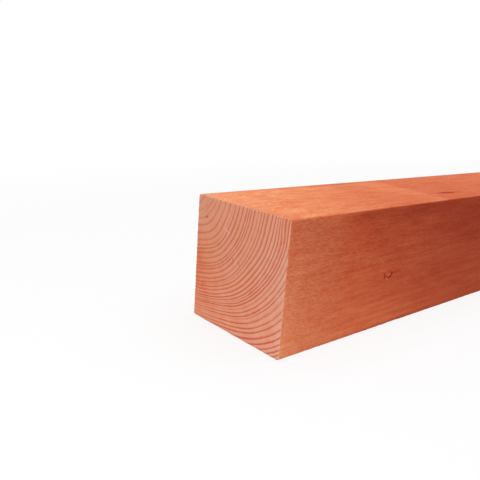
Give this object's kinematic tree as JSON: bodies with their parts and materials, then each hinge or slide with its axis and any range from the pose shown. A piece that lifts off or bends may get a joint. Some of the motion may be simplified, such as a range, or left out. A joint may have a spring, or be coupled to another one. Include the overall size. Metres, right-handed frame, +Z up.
{
  "type": "wooden garden post",
  "caption": "Square sawn softwood post with eased long edges and square-cut ends, for fences, gates, pergolas and carports.",
  "frame": {"origin": "middle of the underside, on the floor the post lies on", "axes": "+X along the grain from the foot end to the head end, +Y across the section, +Z up, square to the face it lies on"},
  "size_m": [2.4, 0.15, 0.15],
  "materials": {
    "timber": "fine-sawn, untreated"
  },
  "bodies": {
    "root": {"post": "timber"}
  },
  "joints": []
}
